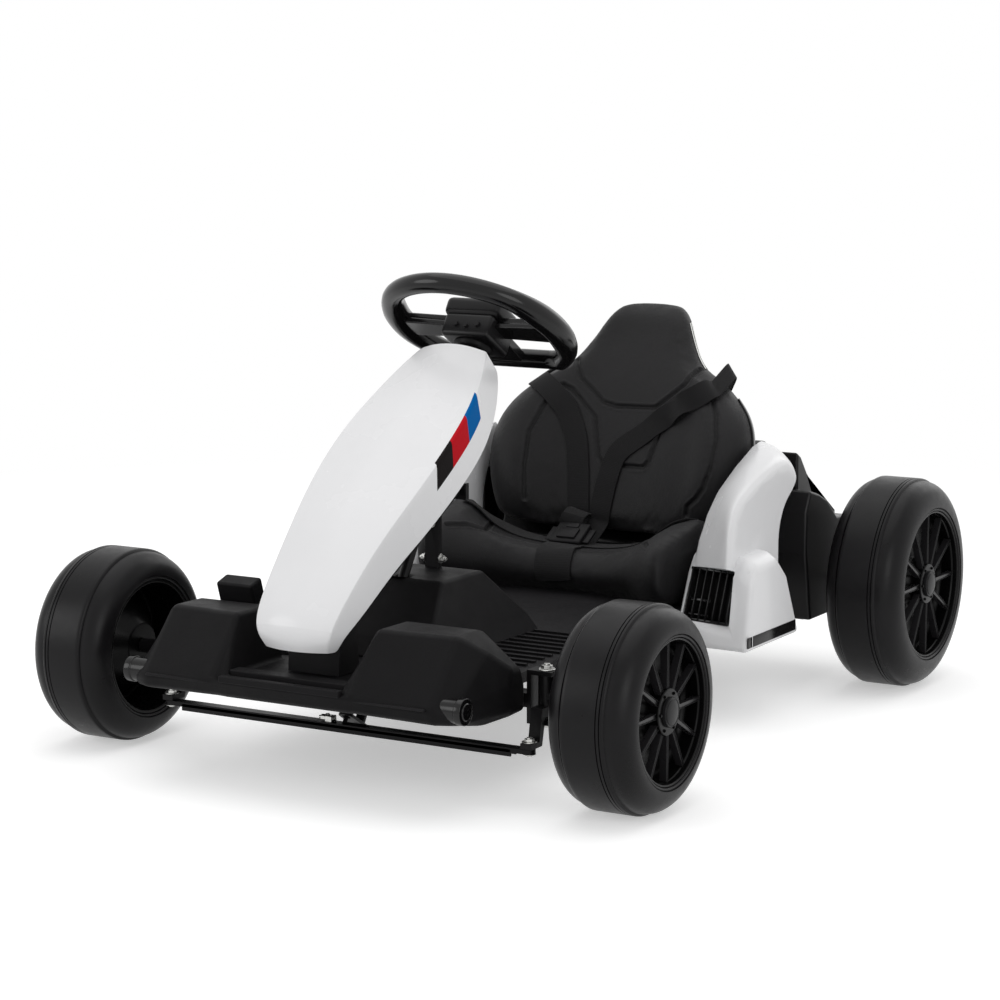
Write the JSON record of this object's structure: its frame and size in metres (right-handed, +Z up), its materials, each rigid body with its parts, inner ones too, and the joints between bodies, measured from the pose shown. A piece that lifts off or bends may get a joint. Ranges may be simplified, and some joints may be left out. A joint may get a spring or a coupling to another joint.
{
  "type": "electric drift kart",
  "caption": "Child's electric drift kart: white nose shield and side pods, black tub, bucket seat with headrest, small steering wheel and spoked drift wheels.",
  "frame": {"origin": "on the floor, under the middle of the kart", "axes": "+X to the driver's left, the nose points to -Y, +Z up"},
  "size_m": [0.898, 1.185, 0.6313],
  "materials": {
    "white_body": null,
    "black_plastic": "fine moulded grain",
    "gloss_black": "gloss",
    "seat_vinyl": "matt vinyl",
    "painted_steel": "satin black",
    "zinc_steel": "bright zinc",
    "tyre": "smooth, satin",
    "cap_grey": "satin grey",
    "webbing": "woven"
  },
  "bodies": {
    "chassis": {"accelerator_pedal": "black_plastic", "battery_box": "black_plastic", "bumper_tube_left": "gloss_black", "bumper_tube_right": "gloss_black", "crotch_strap": "webbing", "floor_pan": "black_plastic", "frame_rail_left": "painted_steel", "frame_rail_right": "painted_steel", "front_axle_beam": "painted_steel", "front_tub": "black_plastic", "harness_buckle": "black_plastic", "headrest": "seat_vinyl", "kingpin_left": "zinc_steel", "kingpin_right": "zinc_steel", "lap_strap_left": "webbing", "lap_strap_right": "webbing", "motor_cover_left": "black_plastic", "motor_cover_right": "black_plastic", "nose_bracket": "black_plastic", "nose_shield": "white_body", "rear_axle": "zinc_steel", "rear_cross_member": "painted_steel", "rear_deck": "black_plastic", "seat_back": "seat_vinyl", "seat_cushion": "seat_vinyl", "shoulder_strap_left": "webbing", "shoulder_strap_right": "webbing", "side_pod_left": "white_body", "side_pod_right": "white_body", "steering_post": "painted_steel", "tunnel": "black_plastic", "vent_grille_left": "black_plastic", "vent_grille_right": "black_plastic"},
    "steering": {"steering_column": "painted_steel", "steering_hub": "black_plastic", "steering_wheel_rim": "gloss_black"},
    "knuckle_left": {"knuckle_left": "painted_steel"},
    "knuckle_right": {"knuckle_right": "painted_steel"},
    "tie_rod": {"tie_rod": "painted_steel", "tie_rod_bolt_left": "zinc_steel", "tie_rod_bolt_right": "zinc_steel"},
    "wheel_front_left": {"tyre_front_left": "tyre", "rim_front_left": "black_plastic", "hub_cap_front_left": "cap_grey"},
    "wheel_front_right": {"tyre_front_right": "tyre", "rim_front_right": "black_plastic", "hub_cap_front_right": "cap_grey"},
    "wheel_rear_left": {"tyre_rear_left": "tyre", "rim_rear_left": "black_plastic", "hub_cap_rear_left": "cap_grey"},
    "wheel_rear_right": {"tyre_rear_right": "tyre", "rim_rear_right": "black_plastic", "hub_cap_rear_right": "cap_grey"}
  },
  "joints": [
    {"name": "steering", "type": "hinge", "parent": "chassis", "child": "steering", "pos_m": [0, -0.1046, 0.553], "axis": [0, 0.5299, 0.848], "range_deg": [-33, 33]},
    {"name": "kingpin_left", "type": "hinge", "parent": "chassis", "child": "knuckle_left", "pos_m": [0.272, -0.4015, 0.13], "axis": [0, 0, 1], "range_deg": [-25, 25]},
    {"name": "kingpin_right", "type": "hinge", "parent": "chassis", "child": "knuckle_right", "pos_m": [-0.272, -0.4015, 0.13], "axis": [0, 0, 1], "range_deg": [-25, 25]},
    {"name": "tie_rod_pivot", "type": "hinge", "parent": "knuckle_left", "child": "tie_rod", "pos_m": [0.272, -0.4455, 0.07], "axis": [0, 0, 1], "range_deg": [-25, 25]},
    {"name": "wheel_spin_front_left", "type": "hinge", "parent": "knuckle_left", "child": "wheel_front_left", "pos_m": [0.3905, -0.4015, 0.13], "axis": [1, 0, 0], "continuous": true},
    {"name": "wheel_spin_front_right", "type": "hinge", "parent": "knuckle_right", "child": "wheel_front_right", "pos_m": [-0.3905, -0.4015, 0.13], "axis": [1, 0, 0], "continuous": true},
    {"name": "wheel_spin_rear_left", "type": "hinge", "parent": "chassis", "child": "wheel_rear_left", "pos_m": [0.3905, 0.4395, 0.153], "axis": [1, 0, 0], "continuous": true},
    {"name": "wheel_spin_rear_right", "type": "hinge", "parent": "chassis", "child": "wheel_rear_right", "pos_m": [-0.3905, 0.4395, 0.153], "axis": [1, 0, 0], "continuous": true}
  ],
  "couplings": [
    {"joint": "kingpin_left", "follows": "steering", "ratio": 0.7529},
    {"joint": "kingpin_right", "follows": "steering", "ratio": 0.7529},
    {"joint": "tie_rod_pivot", "follows": "steering", "ratio": -0.7529}
  ]
}
